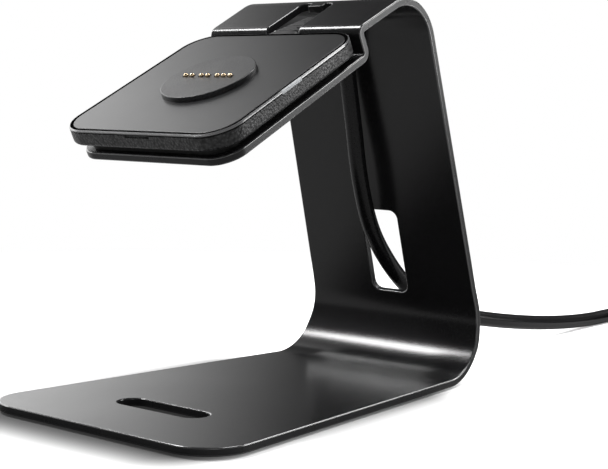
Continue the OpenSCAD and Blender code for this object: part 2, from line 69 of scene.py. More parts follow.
def make_camera():
    """A view along y, turned by the heading, then the pitch, then the roll."""
    pitch, heading, roll = CAMERA_TURNS
    c, s = math.cos, math.sin
    about_x = np.array([[1, 0, 0], [0, c(pitch), -s(pitch)], [0, s(pitch), c(pitch)]])
    about_y = np.array([[c(heading), 0, s(heading)], [0, 1, 0],
                        [-s(heading), 0, c(heading)]])
    about_z = np.array([[c(roll), -s(roll), 0], [s(roll), c(roll), 0], [0, 0, 1]])
    look = about_z @ about_x @ about_y @ np.array([[1, 0, 0], [0, 0, -1], [0, 1, 0]])
    data = bpy.data.cameras.new("camera")
    data.sensor_width = SENSOR
    data.lens = SENSOR * FOCAL_PX / WIDTH_PX
    data.clip_start = 0.01
    camera = bpy.data.objects.new("camera", data)
    scene.collection.objects.link(camera)
    place = Matrix.Identity(4)
    for i, axis in enumerate((look[0], -look[1], -look[2])):
        for j in range(3):
            place[j][i] = axis[j]
    camera.matrix_world = Matrix.Translation(CAMERA_AT) @ place
    scene.camera = camera


make_camera()


# Mesh building
def to_row(points):
    """Maker's millimetres to the row frame: y less MID, all times 0.001."""
    p = np.array(points, float)
    p[..., 1] -= MID
    return p * MM


def piece(name, points, faces, materials, normals=None, face_slots=None, stage=False):
    """A mesh from points in the maker's frame and faces as index rows. It rides on
    the stand, unless it is part of the stage."""
    mesh = bpy.data.meshes.new(name)
    mesh.from_pydata(to_row(points).tolist(), [], [list(f) for f in faces])
    mesh.polygons.foreach_set("use_smooth", [True] * len(mesh.polygons))
    for material in materials if isinstance(materials, (list, tuple)) else [materials]:
        mesh.materials.append(material)
    if face_slots is not None:
        mesh.polygons.foreach_set("material_index", np.asarray(face_slots, int))
    mesh.update()
    if normals is not None:
        n = np.asarray(normals, float)
        n /= np.linalg.norm(n, axis=1, keepdims=True)
        mesh.normals_split_custom_set_from_vertices(n.tolist())
    obj = bpy.data.objects.new(name, mesh)
    scene.collection.objects.link(obj)
    if not stage:
        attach(obj, "stand")
    return obj


def grid_faces(rows, columns):
    """Quads of a grid of points stored row by row, where each row is a ring."""
    i, j = np.meshgrid(np.arange(rows - 1), np.arange(columns), indexing="ij")
    j2 = (j + 1) % columns
    quads = np.stack([i * columns + j, i * columns + j2, (i + 1) * columns + j2,
                      (i + 1) * columns + j], axis=-1)
    return quads.reshape(-1, 4)


def ring(steps):
    """Points round a circle of radius 1, anticlockwise."""
    a = np.linspace(0, 2 * math.pi, steps, endpoint=False)
    return np.stack([np.cos(a), np.sin(a)], -1)


# The cable
CABLE_D = 5.8
SLOPE = math.radians(26.8)       # slope of the tray
TRAY_Y, TRAY_Z = 22.3967, 77.1760   # front edge of the tray's top face
PAD_BACK = 67.0                  # back of the pad, up the slope
GLAND_H = 2.7                    # the cable's middle over the tray, where it leaves
BOOT_END = 84.5                  # tip of the strain relief, up the slope


def on_tray(x, s, h):
    """Point on the tray: x across, s up the slope, h above its top face."""
    x, s, h = np.broadcast_arrays(*(np.asarray(v, float) for v in (x, s, h)))
    return np.stack([x, TRAY_Y + s * math.cos(SLOPE) - h * math.sin(SLOPE),
                     TRAY_Z + s * math.sin(SLOPE) + h * math.cos(SLOPE)], axis=-1)


UP_SLOPE = np.array([0, math.cos(SLOPE), math.sin(SLOPE)])
OFF_SLOPE = np.array([0, -math.sin(SLOPE), math.cos(SLOPE)])
ACROSS = np.array([1.0, 0, 0])

ROUTE = np.array([on_tray(0, BOOT_END, GLAND_H), [0, 100.9, 118.9], [0, 105.1, 118.6],
                  [0, 108.9, 116.8], [0, 111.9, 113.6], [0, 114, 109], [0, 116.2, 99.8],
                  [0, 119.6, 85.6], [0, 123.9, 67.8], [0, 130.8, 51.4],
                  [0, 141.5, 38.6], [1, 153, 28.5], [2, 166, 21], [3.5, 181, 16],
                  [5, 199, 12.5], [6, 219, 9.4], [6, 241, 6.6], [5.5, 264, 4.4],
                  [5, 287, 3.1], [5, 306, 3], [5, 324, 3]])
LEAD_IN, LEAD_OUT = 4.4, 18      # reach of the curve beyond its first and last point
FLOOR_GAP = 0.1                  # the cable's clearance over the floor
COIL_D = 62
COIL_AT = (ROUTE[-1, 0] + COIL_D / 2 + CABLE_D / 2, 345)
COIL_TURNS = 3.5
TAIL = 23                        # straight length between coil and plug
PLUG_Z = 4.2
ROUTE_STEPS, RUN_STEPS, COIL_STEPS, TAIL_STEPS = 10, 12, 420, 14
CABLE_SIDES = 20


def through(points, first, last, steps):
    """Smooth curve through the points: on each span the uniform cubic whose slope
    at a point is half the step between its neighbours."""
    p = np.vstack([points[0] - first, points, points[-1] + last])
    t = np.linspace(0, 1, steps, endpoint=False)[:, None]
    a, b, c, d = (p[i:len(p) - 3 + i][:, None, :] for i in range(4))
    curve = 0.5 * (2 * b + (c - a) * t + (2 * a - 5 * b + 4 * c - d) * t ** 2
                   + (3 * b - a - 3 * c + d) * t ** 3)
    return np.vstack([curve.reshape(-1, 3), points[-1:]])


def coil_line():
    """The wound length: four strands in a square bundle that goes round a circle of
    the mean diameter. Over the far half of each turn the bundle rolls by a quarter
    turn, so each strand moves on to its neighbour's place, and it lifts a little
    as it rolls, to stay on the floor."""
    t = np.linspace(0, COIL_TURNS, COIL_STEPS)       # turns from the left side
    half = np.floor(2 * t)
    part = 2 * t - half
    rolled = np.where(half % 2 == 0, half // 2 + 0.5 - 0.5 * np.cos(math.pi * part),
                      (half + 1) // 2)
    # strand starts outside and low, then goes inside low, inside high, outside high
    turn = -math.pi / 4 - rolled * math.pi / 2
    reach = CABLE_D / math.sqrt(2)
    lift = reach * np.abs(np.cos((rolled % 1 - 0.5) * math.pi / 2)) - reach / math.sqrt(2)
    radius = COIL_D / 2 + reach * np.cos(turn)
    height = CABLE_D + FLOOR_GAP + lift + reach * np.sin(turn)
    angle = math.pi - 2 * math.pi * t
    return np.stack([COIL_AT[0] + radius * np.cos(angle),
                     COIL_AT[1] + radius * np.sin(angle), height], axis=-1)


def cable_line():
    """Route, straight run into the coil, coil, and straight run to the plug, which
    rises smoothly to the plug's height."""
    route = through(ROUTE, LEAD_IN * UP_SLOPE, np.array([0, LEAD_OUT, 0]), ROUTE_STEPS)
    end_x, _, end_z = ROUTE[-1]
    run_in = np.linspace(ROUTE[-1], [end_x, COIL_AT[1], end_z], RUN_STEPS)[1:-1]
    coil = coil_line()
    t = np.linspace(0, 1, TAIL_STEPS)[1:, None]
    rise = 3 * t ** 2 - 2 * t ** 3
    start = coil[-1]
    tail = start + np.hstack([0 * t, -TAIL * t, (PLUG_Z - start[2]) * rise])
    return np.vstack([route, run_in, coil, tail])


def frames_along(line):
    """Direction and two cross directions at each point of a line, carried on from
    point to point with as little turning as the line allows."""
    step = np.gradient(line, axis=0)
    along = step / np.linalg.norm(step, axis=1, keepdims=True)
    side = np.empty_like(along)
    v = ACROSS
    for i, a in enumerate(along):
        v = v - a * (v @ a)
        v /= np.linalg.norm(v)
        side[i] = v
    return along, side, np.cross(along, side)


def tube(line, radius, sides):
    """Round tube: at each point of the line a circle across it, with flat ends."""
    along, u, v = frames_along(line)
    circle = ring(sides)
    out = circle[:, :1] * u[:, None] + circle[:, 1:] * v[:, None]
    points = line[:, None] + radius * out
    n = len(line)
    ends = np.vstack([points.reshape(-1, 3), line[:1], line[-1:]])
    j = np.arange(sides)
    k = (j + 1) % sides
    first, last = np.full(sides, n * sides), (n - 1) * sides
    faces = (grid_faces(n, sides).tolist() + np.stack([k, j, first], -1).tolist()
             + np.stack([last + j, last + k, first + 1], -1).tolist())
    normals = np.vstack([out.reshape(-1, 3), -along[:1], along[-1:]])
    return ends, faces, normals


# Finishes
def nodes_of(owner):
    """The emptied node tree of a material or world."""
    owner.use_nodes = True
    tree = owner.node_tree
    tree.nodes.clear()
    return tree


def ranged(tree, value, low, high, to_low=0.0, to_high=1.0, shape="LINEAR"):
    """The value with the range low to high carried to the range to_low to to_high."""
    node = tree.nodes.new("ShaderNodeMapRange")
    node.interpolation_type = shape
    for name, number in (("From Min", low), ("From Max", high),
                         ("To Min", to_low), ("To Max", to_high)):
        node.inputs[name].default_value = number
    tree.links.new(value, node.inputs["Value"])
    return node.outputs[0]


def vector_step(tree, operation, vector, other=None):
    """One operation on a vector, with a second, fixed vector where it needs one."""
    node = tree.nodes.new("ShaderNodeVectorMath")
    node.operation = operation
    tree.links.new(vector, node.inputs[0])
    if other is not None:
        node.inputs[1].default_value = other
    return node.outputs["Value" if operation in ("LENGTH", "DOT_PRODUCT") else "Vector"]


def scaled(tree, colour, factor):
    """A colour times a factor, which is a number or another node's output."""
    node = tree.nodes.new("ShaderNodeVectorMath")
    node.operation = "SCALE"
    tree.links.new(colour, node.inputs[0])
    if isinstance(factor, float):
        node.inputs["Scale"].default_value = factor
    else:
        tree.links.new(factor, node.inputs["Scale"])
    return node.outputs["Vector"]


def blended(tree, factor, low, high):
    """The colour that goes from low to high with the factor."""
    node = tree.nodes.new("ShaderNodeMix")
    node.data_type = "RGBA"      # its colours are inputs 6 and 7 and output 2
    node.inputs[6].default_value = [*low, 1]
    node.inputs[7].default_value = [*high, 1]
    tree.links.new(factor, node.inputs[0])
    return node.outputs[2]


def either(tree, factor, first, second):
    """The first shader where the factor is 0 and the second where it is 1."""
    node = tree.nodes.new("ShaderNodeMixShader")
    for number, source in enumerate((factor, first, second)):
        tree.links.new(source, node.inputs[number])
    return node.outputs[0]


# Ends of the stretch in which the patterns vary: cloudy pattern, grain, cells
CLOUDS, SPECKS, CELLS = (0.3, 0.7), (0.38, 0.62), (0.15, 0.75)


def finish(name, colour, rough, grain=0.3, depth=0.01, mottle=0.08, metal=0.0,
           specular=0.5, rough_spread=0.08, stretch=None, cells=False, smudge=12.0,
           painted_grain_shading=0.0):
    """A surface finish: base colour with a slight mottle, roughness that varies
    with the same pattern, and a grain of the given size and depth in mm. The last
    argument is how far the grain's colour carries a painted shade in its low places
    and a painted highlight on its high places."""
    material = bpy.data.materials.new(name)
    tree = nodes_of(material)
    new, link = tree.nodes.new, tree.links.new
    out = new("ShaderNodeOutputMaterial")
    shader = new("ShaderNodeBsdfPrincipled")
    shader.inputs["Metallic"].default_value = metal
    shader.inputs["Specular IOR Level"].default_value = specular
    link(shader.outputs[0], out.inputs[0])
    place = new("ShaderNodeTexCoord")
    mapping = new("ShaderNodeMapping")
    if stretch:
        mapping.inputs["Scale"].default_value = stretch
    link(place.outputs["Object"], mapping.inputs[0])
    # large soft pattern for colour and roughness
    soft = new("ShaderNodeTexNoise")
    soft.inputs["Scale"].default_value = 1 / (smudge * MM)
    soft.inputs["Detail"].default_value = 4
    link(mapping.outputs[0], soft.inputs["Vector"])
    mottled = blended(tree, soft.outputs["Fac"], [c * (1 - mottle) for c in colour],
                      [min(1, c * (1 + mottle)) for c in colour])
    spread = ranged(tree, soft.outputs["Fac"], *CLOUDS, max(0.03, rough - rough_spread),
                    min(1, rough + rough_spread))
    link(spread, shader.inputs["Roughness"])
    # grain: fine noise, or small cells that stand up in their middles
    # the grain's colour follows its height: painted shade low, painted highlight high
    if cells:
        fine = new("ShaderNodeTexVoronoi")
        fine.feature = "SMOOTH_F1"
        fine.inputs["Smoothness"].default_value = 0.6
        fine.inputs["Randomness"].default_value = 1.0
        height = fine.outputs["Distance"]
        lit = ranged(tree, height, *CELLS, 1 + painted_grain_shading, 1 - painted_grain_shading)
    else:
        fine = new("ShaderNodeTexNoise")
        fine.inputs["Detail"].default_value = 3
        fine.inputs["Roughness"].default_value = 0.6
        height = fine.outputs["Fac"]
        lit = ranged(tree, height, *SPECKS, 1 - painted_grain_shading, 1 + painted_grain_shading)
    fine.inputs["Scale"].default_value = 1 / (grain * MM)
    link(mapping.outputs[0], fine.inputs["Vector"])
    link(scaled(tree, mottled, lit), shader.inputs["Base Color"])
    bump = new("ShaderNodeBump")
    bump.invert = cells
    bump.inputs["Strength"].default_value = 1.0
    bump.inputs["Distance"].default_value = depth * MM
    link(height, bump.inputs["Height"])
    link(bump.outputs[0], shader.inputs["Normal"])
    return material


anodised = finish("black_anodised", (0.006, 0.006, 0.0063), 0.21, grain=0.6,
                  depth=0.022, specular=0.26, rough_spread=0.02, mottle=0.1, smudge=40,
                  painted_grain_shading=0.3)
cut_edge = finish("anodised_edge", (0.009, 0.009, 0.0095), 0.28, grain=0.3, depth=0.006,
                  specular=0.17, rough_spread=0.03, painted_grain_shading=0.2)
# edge roundings: lighter and shinier, part wear and part painted highlight
edge_wear_and_highlight = finish("edge_wear_painted_highlight", (0.02, 0.02, 0.021), 0.2, grain=0.4, depth=0.003,
                     specular=0.9, rough_spread=0.03, painted_grain_shading=0.2)
cable_skin = finish("cable_jacket", (0.005, 0.005, 0.0053), 0.22, grain=0.7, depth=0.008,
                    rough_spread=0.02, specular=0.16, painted_grain_shading=0.2)
boot_skin = finish("strain_relief", (0.018, 0.018, 0.0185), 0.5, grain=0.4, depth=0.02,
                   specular=0.3, painted_grain_shading=0.2)
plinth_black = finish("plinth_black", (0.004, 0.004, 0.004), 0.6, specular=0.2)
grained_case = finish("grained_case", (0.016, 0.016, 0.0165), 0.38, specular=0.25,
                      grain=0.75, depth=0.17, cells=True, painted_grain_shading=0.9)
cover_grey = finish("cover_grey", (0.009, 0.0092, 0.0096), 0.3, grain=0.45, depth=0.012,
                    specular=0.3, rough_spread=0.02, smudge=30, painted_grain_shading=0.12)
# the cover's rim, lighter and shinier than the cover: a painted highlight
rim_painted_highlight = finish("painted_highlight_rim", (0.06, 0.06, 0.062), 0.2, grain=0.3, depth=0.003,
                    specular=0.9, rough_spread=0.02)
# the cover's groove, near black and without sheen: painted shade in the recess
groove_painted_shade = finish("groove_painted_shade", (0.002, 0.002, 0.002), 0.8, specular=0.0)
disc_grey = finish("disc_grey", (0.015, 0.015, 0.0156), 0.36, grain=0.6, depth=0.06,
                   specular=0.3, rough_spread=0.04, painted_grain_shading=0.6)
gasket_black = finish("gasket_black", (0.003, 0.003, 0.003), 0.7, specular=0.1)
board_green = finish("board_green", (0.02, 0.12, 0.05), 0.3)
chip_black = finish("chip_black", (0.02, 0.02, 0.02), 0.5)
ivory = finish("ivory_plastic", (0.75, 0.72, 0.62), 0.35)
window = finish("clear_window", (0.22, 0.23, 0.24), 0.35, grain=0.5, depth=0.004)
nickel = finish("magnet_nickel", (0.6, 0.6, 0.62), 0.25, metal=1.0)
gold = finish("gold_contact", (0.55, 0.43, 0.28), 0.22, metal=1.0, grain=0.2, depth=0.003)
# pin barrels in a dark brass: painted shade of the bores round the pins
brass_barrel_painted_shade = finish("brass_barrel_painted_shade", (0.05, 0.035, 0.02), 0.4, metal=1.0, grain=0.2,
                      depth=0.003)
spring_steel = finish("spring_steel", (0.6, 0.6, 0.62), 0.25, metal=1.0)
screw_steel = finish("screw_steel", (0.5, 0.5, 0.52), 0.3, metal=1.0)
foot_rubber = finish("foot_rubber", (0.02, 0.02, 0.02), 0.75, grain=0.4, depth=0.03)
plug_black = finish("plug_black", (0.02, 0.02, 0.02), 0.5, grain=0.3, depth=0.02)
plug_steel = finish("plug_steel", (0.62, 0.62, 0.64), 0.28, metal=1.0, grain=0.2,
                    depth=0.004, stretch=(1, 0.05, 1))
wire_finishes = {
    "wire_" + colour: finish("wire_" + colour, value, 0.35) for colour, value in (
        ("red", (0.55, 0.03, 0.03)), ("black", (0.02, 0.02, 0.02)),
        ("green", (0.03, 0.3, 0.08)), ("white", (0.8, 0.8, 0.8)))}

BY_NODE = {"stand_plate": anodised, "pad_plinth": plinth_black, "pad_case": grained_case,
           "pad_cover": cover_grey, "contact_disc": disc_grey,
           "cover_gasket": gasket_black, "circuit_board": board_green,
           "control_chip": chip_black, "wire_terminal": ivory, "light_source": ivory,
           "light_pipe": window, "tray_screws": screw_steel, "cable_boot": boot_skin,
           "cable": cable_skin, "cable_coil": cable_skin, "plug_grip": plug_black,
           "plug_shell": plug_steel, "plug_tongue": ivory, "plug_contacts": gold,
           **wire_finishes}
BY_START = {"foot_": foot_rubber, "magnet_": nickel, "pin_barrel": brass_barrel_painted_shade,
            "pin_plunger": gold, "pin_spring": spring_steel}


def dress_nodes():
    """Gives each CAD node its finish, by its name or by how its name starts."""
    for name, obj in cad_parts.items():
        material = BY_NODE.get(name)
        for start, value in BY_START.items():
            if name.startswith(start):
                material = value
        for slot in obj.material_slots:
            slot.material = material


dress_nodes()


def make_cable():
    """The cable, from the strain relief through the coil to the plug, as one tube."""
    line = cable_line()
    points, faces, normals = tube(line, CABLE_D / 2, CABLE_SIDES)
    cable = piece("cable_line", points, faces, cable_skin, normals)
    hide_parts("cable", "cable_coil")
    to_row(line[0])
    to_row(line)


make_cable()

# The bent sheet
SHEET = 2.5                      # thickness
TOP_Z = 3.3                      # top of the base over the floor
BASE_W, TAPER, BASE_CORNER = 96, 0.081, 14   # taper of the half width with y
# Base, upright, panel, step and tray: flat length, turn in degrees after it, and the
# radius of the inner face there, which is negative where the sheet turns back
LEGS = ((127, 107.3, 18), (92.7, 99.5, 12.6), (17.1, 90, 0.6), (4.3, -90, -3.7),
        (67.4, 0, 0))
EDGE = 0.45                      # radius of the broken edges
EDGE_TURNS = np.radians([0, 30, 60, 90])   # lean of the normals round them
TRAY_HALF, TRAY_CORNER = 30.5, 8
NO_LIMIT = 99                    # wider than any place of the sheet
# Half widths: of the head by y, and of the upright by height
HEAD_HALF = ((82.56, TRAY_HALF), (116.619, 32.0), (116.919, NO_LIMIT))
UPRIGHT_HALF = ((3.69, NO_LIMIT), (3.7, 38), (5.46, 37.5), (11.04, 36.5),
                (18.06, 35.6), (31.02, 34.632), (240, 28.11))
SPLIT = 60                       # height between base and head
BEND_STEP = math.radians(3)      # turn between two cross lines of a bend


def sheet_legs():
    """Start length, kind, start point, start angle and size of each flat and bend."""
    legs, u, p, a = [], 0.0, np.array([0, TOP_Z]), 0.0
    for flat, turn, radius in LEGS:
        legs.append((u, "flat", p, a, flat, 0))
        p = p + flat * np.array([math.cos(a), math.sin(a)])
        u += flat
        if turn:
            b = a + math.radians(turn)
            legs.append((u, "bend", p, a, radius, b - a))
            p = p + radius * np.array([math.sin(b) - math.sin(a),
                                       math.cos(a) - math.cos(b)])
            u += abs(radius * (b - a))
            a = b
    return legs, u


SHEET_LEGS, SHEET_LENGTH = sheet_legs()


def along_sheet(u):
    """y, z and angle of the sheet's inner face at length u: straight on the flats,
    an arc of the leg's radius on the bends."""
    u = np.asarray(u, float)
    y, z, angle = np.zeros_like(u), np.zeros_like(u), np.zeros_like(u)
    for start, kind, p, a, size, turn in SHEET_LEGS:
        d = u - start
        if kind == "flat":
            leg = p[0] + d * math.cos(a), p[1] + d * math.sin(a), a + 0 * d
        else:
            b = a + d / size
            leg = (p[0] + size * (np.sin(b) - math.sin(a)),
                   p[1] + size * (math.cos(a) - np.cos(b)), b)
        y, z, angle = (np.where(d >= -1e-9, after, before)
                       for after, before in zip(leg, (y, z, angle)))
    return y, z, angle


def half_width(u):
    """Half width of the sheet at length u, taken at mid thickness: the base tapers
    with y, the upright with z, and the head widens from the tray to the upright."""
    y, z, a = along_sheet(u)
    y, z = y + SHEET / 2 * np.sin(a), z - SHEET / 2 * np.cos(a)
    base = BASE_W / 2 - TAPER * y
    head = np.interp(y, *zip(*HEAD_HALF))
    upright = np.interp(z, *zip(*UPRIGHT_HALF))
    return np.minimum(np.where(z < SPLIT, base, head), upright)


def levels():
    """Lengths at which the sheet gets a cross line: all along each bend."""
    rows = []
    for start, kind, p, a, size, turn in SHEET_LEGS:
        if kind == "bend":
            steps = max(10, int(abs(turn) / BEND_STEP))
            rows.append(start + np.linspace(0, abs(size * turn), steps + 1))
    return np.concatenate(rows)


LEVELS = levels()
UPRIGHT_U = SHEET_LEGS[2][0]     # start of the upright
PANEL_U = round(SHEET_LEGS[4][0], 2)   # start of the panel
KINK_U = UPRIGHT_U + 4.6         # near the start of the upright's straight taper
HAIR = 0.001                     # left straight between two round ends of a hole

# Slot across the base: its middle, length and width
PILL_U, PILL_L, PILL_W = 30, 34, 10
# Cable hole in the upright: its start, width, height and corners
HOLE_U, HOLE_W, HOLE_H, HOLE_R = UPRIGHT_U + 1.1, 15, 30.5, 3
# Slot in the head: half width and corners, its end under the pad, and its end in the
# upper bend
SLOT_HALF, SLOT_R = 6.5, 2.4
SLOT_LOW, SLOT_HIGH = SHEET_LENGTH - 56, PANEL_U - 1.2
# Its tongue: half width, length, rounding of the tip and of the roots, and the half
# width and stretch of the slot's end, whose edges get no wear or painted highlight
TONGUE_HALF, TONGUE, TIP_R, ROOT_R = 2.9, 2.4, 0.6, 0.4
END_HALF, END_FROM, END_TO = SLOT_HALF - 0.3, PANEL_U - 4, PANEL_U + 3
# Middle of the pad up the slope, and the holes for its four screws
PAD_MID = 32.5
SCREW_X, SCREW_S, SCREW_HOLE = 24, 10, 3.2


def arc(cx, cu, r, start, end, steps):
    """Points of an arc from start to end degrees, with the directions away from its
    middle."""
    a = np.radians(np.linspace(start, end, steps))
    away = np.stack([np.cos(a), np.sin(a)], -1)
    return np.array([cx, cu]) + r * away, away


def sheet_outline():
    """Flat pattern of the sheet, anticlockwise, with the outward side directions:
    corner of the base, side by the half width, corner of the tray, and the same
    mirrored."""
    cx = BASE_W / 2 - BASE_CORNER * (math.sqrt(1 + TAPER ** 2) + TAPER)
    p1, n1 = arc(cx, BASE_CORNER, BASE_CORNER, -90, math.degrees(math.atan(TAPER)), 22)
    u = np.sort(np.append(LEVELS, KINK_U))
    p2 = np.stack([half_width(u), u], -1)
    n2 = np.tile([1.0, 0.0], (len(u), 1))
    p3, n3 = arc(TRAY_HALF - TRAY_CORNER, SHEET_LENGTH - TRAY_CORNER, TRAY_CORNER,
                 0, 90, 16)
    p, n = np.vstack([p1, p2, p3]), np.vstack([n1, n2, n3])
    left = p[::-1] * [-1, 1], n[::-1] * [-1, 1]
    return np.vstack([p, left[0]]), np.vstack([n, left[1]])


def rounded_loop(cx, cu, width, length, r, steps=9):
    """Rounded rectangle, anticlockwise, with outward directions."""
    parts = [arc(cx + sx * (width / 2 - r), cu + su * (length / 2 - r), r, a, a + 90, steps)
             for sx, su, a in ((1, 1, 0), (-1, 1, 90), (-1, -1, 180), (1, -1, 270))]
    return np.vstack([p for p, n in parts]), np.vstack([n for p, n in parts])


def head_slot():
    """Slot through tray, step and panel, anticlockwise, with a tongue at its upper
    end; the directions point away from the slot's middle."""
    clear = SLOT_HIGH + SLOT_R + 0.2
    straight = LEVELS[(LEVELS > clear) & (LEVELS < SLOT_LOW - SLOT_R)]
    tip_p, tip_n = arc(TONGUE_HALF - TIP_R, SLOT_HIGH + TONGUE - TIP_R, TIP_R, 90, 0, 5)
    root_p, root_n = arc(TONGUE_HALF + ROOT_R, SLOT_HIGH + ROOT_R, ROOT_R, 180, 270, 5)
    high_p, high_n = arc(SLOT_HALF - SLOT_R, SLOT_HIGH + SLOT_R, SLOT_R, -90, 0, 9)
    side_p = np.stack([np.full(len(straight), SLOT_HALF), straight], -1)
    side_n = np.tile([1.0, 0.0], (len(straight), 1))
    low_p, low_n = arc(SLOT_HALF - SLOT_R, SLOT_LOW - SLOT_R, SLOT_R, 0, 90, 9)
    p = np.vstack([tip_p, root_p, high_p, side_p, low_p])
    n = np.vstack([-tip_n, root_n, high_n, side_n, low_n])
    return np.vstack([p, p[::-1] * [-1, 1]]), np.vstack([n, n[::-1] * [-1, 1]])


def inside_loop(points, loop):
    """True where a point is inside a closed loop, by counting crossings."""
    x, y = points[:, :1], points[:, 1:]
    a, b = loop, np.roll(loop, -1, axis=0)
    crosses = (a[:, 1] > y) != (b[:, 1] > y)
    with np.errstate(divide="ignore", invalid="ignore"):
        at = a[:, 0] + (y - a[:, 1]) * (b[:, 0] - a[:, 0]) / (b[:, 1] - a[:, 1])
    return (crosses & (x < at)).sum(axis=1) % 2 == 1


def sheet_plan():
    """Loops of the flat pattern, each with its side directions, away from the
    metal: the outline, which runs anticlockwise, then the holes, clockwise."""
    holes = [
        rounded_loop(0, PILL_U, PILL_L, PILL_W, PILL_W / 2 - HAIR, 13),
        rounded_loop(0, HOLE_U + HOLE_H / 2, HOLE_W, HOLE_H, HOLE_R),
        head_slot()]
    holes += [rounded_loop(x, SHEET_LENGTH - PAD_MID - s, SCREW_HOLE, SCREW_HOLE,
                           SCREW_HOLE / 2 - HAIR, 7)
              for x in (-SCREW_X, SCREW_X) for s in (-SCREW_S, SCREW_S)]
    return [sheet_outline()] + [(p[::-1], -n[::-1]) for p, n in holes]


def cross_lines(loops):
    """Index pairs that join the points of the same level across the sheet. Beside
    the head's slot, which is the fourth loop, they end at the slot's sides."""
    first = np.cumsum([0] + [len(p) for p, n in loops])
    x, u = np.concatenate([p for p, n in loops]).T
    pairs = []
    outer, slot = np.arange(first[1]), np.arange(first[3], first[4])
    for level in LEVELS:
        edge = outer[np.abs(u[outer] - level) < SAME]
        right, left = edge[np.argmax(x[edge])], edge[np.argmin(x[edge])]
        near = slot[np.abs(u[slot] - level) < SAME]
        if len(near) >= 2:
            pairs.append((right, near[np.argmax(x[near])]))
            pairs.append((left, near[np.argmin(x[near])]))
        elif level < SLOT_HIGH - 0.5:
            pairs.append((right, left))
    return pairs


def fill(loops, lines=()):
    """Anticlockwise triangles that fill the first loop less the others, as rows of
    indices into the loops' points one after another; no triangle crosses a line."""
    points = np.vstack(loops)
    edges, start = list(lines), 0
    for loop in loops:
        i = np.arange(len(loop))
        edges += np.stack([start + i, start + (i + 1) % len(loop)], -1).tolist()
        start += len(loop)
    _, _, triangles, origin, _, _ = delaunay_2d_cdt(
        [Vector(p) for p in points], [tuple(int(k) for k in e) for e in edges], [],
        0, 1e-5)
    index = np.array([o[0] if o else -1 for o in origin])
    tri = index[np.array(triangles)]
    tri = tri[(tri >= 0).all(axis=1)]
    middle = points[tri].mean(axis=1)
    inside = inside_loop(middle, loops[0])
    for loop in loops[1:]:
        inside &= ~inside_loop(middle, loop)
    tri = tri[inside]
    a, b, c = (points[tri[:, i]] for i in range(3))
    ab, ac = b - a, c - a
    area = ab[:, 0] * ac[:, 1] - ab[:, 1] * ac[:, 0]
    tri[area < 0] = tri[area < 0][:, ::-1]
    return tri[np.abs(area) > 1e-9]


def make_sheet():
    """The flat pattern with broken edges, bent along the sheet's way: a point of
    the pattern at length u goes to along_sheet(u), and its depth runs against the
    normal there. Down the edge the rings go round a quarter circle, straight down
    the cut face and round a second quarter circle."""
    loops = sheet_plan()
    flat = np.vstack([p for p, n in loops])
    side = np.vstack([n for p, n in loops])
    count = len(flat)
    inset = EDGE * (1 - np.sin(EDGE_TURNS))
    depth = EDGE * (1 - np.cos(EDGE_TURNS))
    inset = np.concatenate([inset, inset[::-1]])
    depth = np.concatenate([depth, SHEET - depth[::-1]])
    lean = np.concatenate([EDGE_TURNS, math.pi - EDGE_TURNS[::-1]])
    rings = len(inset)

    # both faces, and the strips down the edge of each loop
    tri = fill([p - n * EDGE for p, n in loops], cross_lines(loops))
    strips, start = [], 0
    for p, n in loops:
        j = start + np.arange(len(p))
        k = start + (np.arange(len(p)) + 1) % len(p)
        for r in range(0, (rings - 1) * count, count):
            strips.append(np.stack([r + j, r + count + j, r + count + k, r + k], -1))
        start += len(p)
    bottom = tri[:, ::-1] + (rings - 1) * count
    faces = tri.tolist() + bottom.tolist() + np.vstack(strips).tolist()

    # the roundings are worn and carry a painted highlight, the cut face lies between
    # them; the tongue in the head's slot has no such edges
    face, cut, wear_highlit = 0, 1, 2
    rounds = [wear_highlit] * (len(EDGE_TURNS) - 1)
    by_strip = np.array(rounds + [cut] + rounds)[:, None]
    slots = [np.full(2 * len(tri), face)]
    for p, n in loops:
        tongue = ((np.abs(p[:, 0]) < END_HALF) & (p[:, 1] > END_FROM)
                  & (p[:, 1] < END_TO))
        slots.append(np.where(tongue, cut, by_strip).ravel())

    # bend everything
    pattern = (flat[None] - side[None] * inset[:, None, None]).reshape(-1, 2)
    down = np.repeat(depth, count)
    y, z, angle = along_sheet(pattern[:, 1])
    points = np.stack([pattern[:, 0], y + down * np.sin(angle),
                       z - down * np.cos(angle)], -1)
    out = np.tile(side / np.linalg.norm(side, axis=1, keepdims=True), (rings, 1))
    turn = np.repeat(lean, count)
    up, sideways = np.cos(turn), np.sin(turn)
    normals = np.stack([sideways * out[:, 0],
                        sideways * out[:, 1] * np.cos(angle) - up * np.sin(angle),
                        sideways * out[:, 1] * np.sin(angle) + up * np.cos(angle)], -1)
    sheet = piece("bent_sheet", points, faces, [anodised, cut_edge, edge_wear_and_highlight],
                  normals, np.concatenate(slots))
    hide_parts("stand_plate")


make_sheet()

# The pad: rounded slabs on the tray. Heights are above the tray's top face.
PAD_HALF_W, PAD_HALF_L, PAD_R = 33, 34.5, 10
CASE_LOW, CASE_TOP, COVER_LOW, COVER_TOP = 2.9, 7.1, 7.4, 8.1
CASE_UNDER_R, CASE_TOP_R = 1.0, 0.15
# Notch in the case's front edge: left and right end, floor, depth, and the length in
# which each end slants
NOTCH_LEFT, NOTCH_RIGHT, NOTCH_FLOOR, NOTCH_DEPTH, NOTCH_END = -4.3, 5.3, 6.4, 0.5, 0.15
STEP = 0.01                      # height or length in which a sharp step is made
# Cover: its lower edge, broken in and up; the bright rim's slant, the end of its
# flat and the slant's drop; the groove's inner side and depth; the plate's rounding
COVER_IN, COVER_UP = 0.15, 0.1
RIM_SLANT, RIM_FLAT, RIM_DROP = 0.36, 0.42, 0.3
GROOVE, GROOVE_DEEP, PLATE_R = 1.45, 0.45, 0.2
